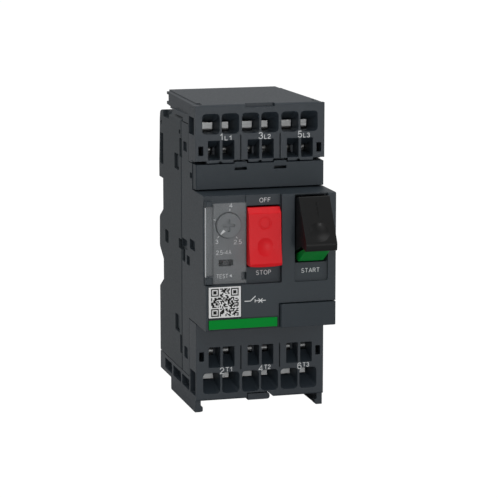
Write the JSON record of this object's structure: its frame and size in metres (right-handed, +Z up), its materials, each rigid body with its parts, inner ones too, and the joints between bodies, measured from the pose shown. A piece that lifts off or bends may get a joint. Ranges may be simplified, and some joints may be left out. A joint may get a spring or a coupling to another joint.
{
  "type": "motor protection breaker",
  "caption": "Rail-mounted motor protection breaker with rocker push buttons, a setting dial under a clear hinged cover and spring-clamp terminals.",
  "frame": {"origin": "middle of the rear mounting plane, at half the height of the body without its feet", "axes": "+X to the right seen from the front, -Y to the front (buttons), +Z up"},
  "size_m": [0.045, 0.0785, 0.1052],
  "materials": {
    "rear_housing_plastic": "moulded polyamide, fine grain",
    "front_housing_plastic": "moulded polyamide, fine grain",
    "terminal_block_plastic": "moulded polyamide, fine grain",
    "marking_strip_plastic": "moulded polyamide, fine grain",
    "start_button_plastic": "moulded, satin",
    "start_insert_plastic": "moulded, satin",
    "stop_button_plastic": "moulded, satin",
    "clear_cover_plastic": "clear moulded cover, lightly smoked",
    "dial_plastic": "moulded, satin",
    "label_paper": "printed film label",
    "label_green": "printed film label",
    "spring_steel": "bright spring steel",
    "tinned_copper": "tinned copper alloy",
    "coil_wire": "copper wire",
    "bimetal": "rolled bimetal",
    "zinc_steel": "zinc plated sheet",
    "mechanism_plastic": "moulded, natural colour",
    "latch_plastic": "moulded polyamide"
  },
  "bodies": {
    "housing": {"rear_housing": "rear_housing_plastic", "front_housing": "front_housing_plastic", "upper_terminal_block": "terminal_block_plastic", "lower_terminal_block": "terminal_block_plastic", "marking_strip": "marking_strip_plastic", "blank_cover": "front_housing_plastic", "code_label": "label_paper", "green_label": "label_green", "start_pivot_pin": "spring_steel", "stop_pivot_pin": "spring_steel", "lever_pin": "spring_steel", "latch_spring": "spring_steel", "upper_clamp_1a": "spring_steel", "lower_clamp_1a": "spring_steel", "upper_clamp_1b": "spring_steel", "lower_clamp_1b": "spring_steel", "line_contact_bar_1": "tinned_copper", "load_contact_1": "tinned_copper", "magnet_coil_1": "coil_wire", "bimetal_1": "bimetal", "load_terminal_bar_1": "tinned_copper", "arc_chute_1": "zinc_steel", "upper_clamp_2a": "spring_steel", "lower_clamp_2a": "spring_steel", "upper_clamp_2b": "spring_steel", "lower_clamp_2b": "spring_steel", "line_contact_bar_2": "tinned_copper", "load_contact_2": "tinned_copper", "magnet_coil_2": "coil_wire", "bimetal_2": "bimetal", "load_terminal_bar_2": "tinned_copper", "arc_chute_2": "zinc_steel", "upper_clamp_3a": "spring_steel", "lower_clamp_3a": "spring_steel", "upper_clamp_3b": "spring_steel", "lower_clamp_3b": "spring_steel", "line_contact_bar_3": "tinned_copper", "load_contact_3": "tinned_copper", "magnet_coil_3": "coil_wire", "bimetal_3": "bimetal", "load_terminal_bar_3": "tinned_copper", "arc_chute_3": "zinc_steel"},
    "start_button": {"start_button": "start_button_plastic", "start_insert": "start_insert_plastic"},
    "stop_button": {"stop_button": "stop_button_plastic"},
    "mechanism_lever": {"mechanism_lever": "mechanism_plastic"},
    "contact_carrier": {"contact_carrier": "mechanism_plastic", "moving_contact_1": "tinned_copper", "moving_contact_2": "tinned_copper", "moving_contact_3": "tinned_copper", "contact_spring_1": "spring_steel", "contact_spring_2": "spring_steel", "contact_spring_3": "spring_steel"},
    "setting_dial": {"setting_dial": "dial_plastic"},
    "clear_cover": {"clear_cover": "clear_cover_plastic"},
    "test_slider": {"test_slider": "mechanism_plastic"},
    "trip_bar": {"trip_bar": "mechanism_plastic"},
    "rail_latch": {"rail_latch": "latch_plastic"}
  },
  "joints": [
    {"name": "start_press", "type": "hinge", "parent": "housing", "child": "start_button", "pos_m": [0.01375, -0.0642, 0.0186], "axis": [1, 0, 0], "range_deg": [0, 24]},
    {"name": "stop_press", "type": "hinge", "parent": "housing", "child": "stop_button", "pos_m": [-0.00225, -0.062, 0.0155], "axis": [-1, 0, 0], "range_deg": [0, 12]},
    {"name": "lever_turn", "type": "hinge", "parent": "housing", "child": "mechanism_lever", "pos_m": [0.0112, -0.044, 0.012], "axis": [1, 0, 0], "range_deg": [0, 12]},
    {"name": "carrier_slide", "type": "slide", "parent": "housing", "child": "contact_carrier", "axis": [0, 1, 0], "range_m": [0, 0.0031]},
    {"name": "dial_turn", "type": "hinge", "parent": "housing", "child": "setting_dial", "pos_m": [-0.01405, -0.0608, 0.01165], "axis": [0, -1, 0], "range_deg": [-140, 80]},
    {"name": "cover_open", "type": "hinge", "parent": "housing", "child": "clear_cover", "pos_m": [-0.0207, -0.0648, 0.006], "axis": [0, 0, -1], "range_deg": [0, 110]},
    {"name": "test_slide", "type": "slide", "parent": "housing", "child": "test_slider", "axis": [-1, 0, 0], "range_m": [0, 0.0014]},
    {"name": "trip_turn", "type": "hinge", "parent": "housing", "child": "trip_bar", "pos_m": [0, -0.036, -0.015], "axis": [1, 0, 0], "range_deg": [-8, 0]},
    {"name": "latch_slide", "type": "slide", "parent": "housing", "child": "rail_latch", "axis": [0, 0, -1], "range_m": [0, 0.003], "deforming": ["latch_spring"]}
  ],
  "couplings": [
    {"joint": "stop_press", "follows": "start_press", "ratio": 0.5},
    {"joint": "lever_turn", "follows": "start_press", "ratio": 0.5},
    {"joint": "carrier_slide", "follows": "start_press", "m_per_rad": 0.00645}
  ]
}
